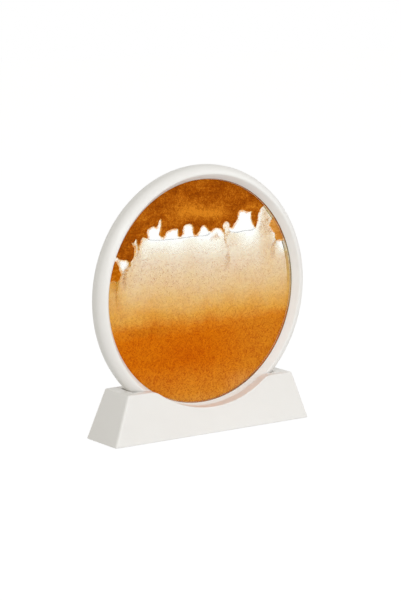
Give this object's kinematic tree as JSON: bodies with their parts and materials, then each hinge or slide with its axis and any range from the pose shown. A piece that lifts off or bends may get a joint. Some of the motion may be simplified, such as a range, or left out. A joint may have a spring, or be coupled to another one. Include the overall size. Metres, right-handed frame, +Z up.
{
  "type": "moving sand art frame",
  "caption": "Round sand picture sealed between glass panes in a white plastic ring; the ring stands in a tapered slotted base, turns in it and lifts out.",
  "frame": {"origin": "on the table under the middle of the base", "axes": "+Z up, +X to the right along the base, +Y to the back; the ring's axis lies along Y"},
  "size_m": [0.18, 0.0378, 0.1902],
  "materials": {
    "white_plastic": "satin moulded plastic",
    "clear_glass": "polished",
    "clear_water": "clear liquid",
    "dark_rubber": "matte",
    "grey_rubber": "matte",
    "screw_steel": "zinc plated",
    "dark_sand": "fine wet sand",
    "bright_sand": "fine wet sand",
    "pale_sand": "loose falling grains"
  },
  "bodies": {
    "base": {"base_shell": "white_plastic", "bottom_plate": "white_plastic", "base_screw_1": "screw_steel", "base_screw_2": "screw_steel", "base_screw_3": "screw_steel", "base_screw_4": "screw_steel", "foot_pad_1": "grey_rubber", "foot_pad_2": "grey_rubber", "foot_pad_3": "grey_rubber", "foot_pad_4": "grey_rubber"},
    "water": {"water": "clear_water"},
    "ring": {"ring_front_shell": "white_plastic", "ring_rear_shell": "white_plastic", "glass_front": "clear_glass", "glass_rear": "clear_glass", "gasket_front": "dark_rubber", "gasket_rear": "dark_rubber", "cell_seal": "dark_rubber", "fill_plug": "dark_rubber", "sand_upper": "dark_sand", "sand_bed": "bright_sand", "sand_lump_left": "dark_sand", "sand_lump_right": "bright_sand", "sand_rain": "pale_sand", "sand_stream_1": "dark_sand", "sand_stream_2": "dark_sand", "sand_stream_3": "dark_sand", "sand_stream_4": "dark_sand", "sand_stream_5": "dark_sand"}
  },
  "joints": [
    {"name": "ring_lift", "type": "slide", "parent": "base", "child": "water", "axis": [0, 0, 1], "range_m": [0, 0.04]},
    {"name": "ring_turn", "type": "hinge", "parent": "water", "child": "ring", "pos_m": [0, 0, 0.1002], "axis": [0, 1, 0], "continuous": true}
  ]
}
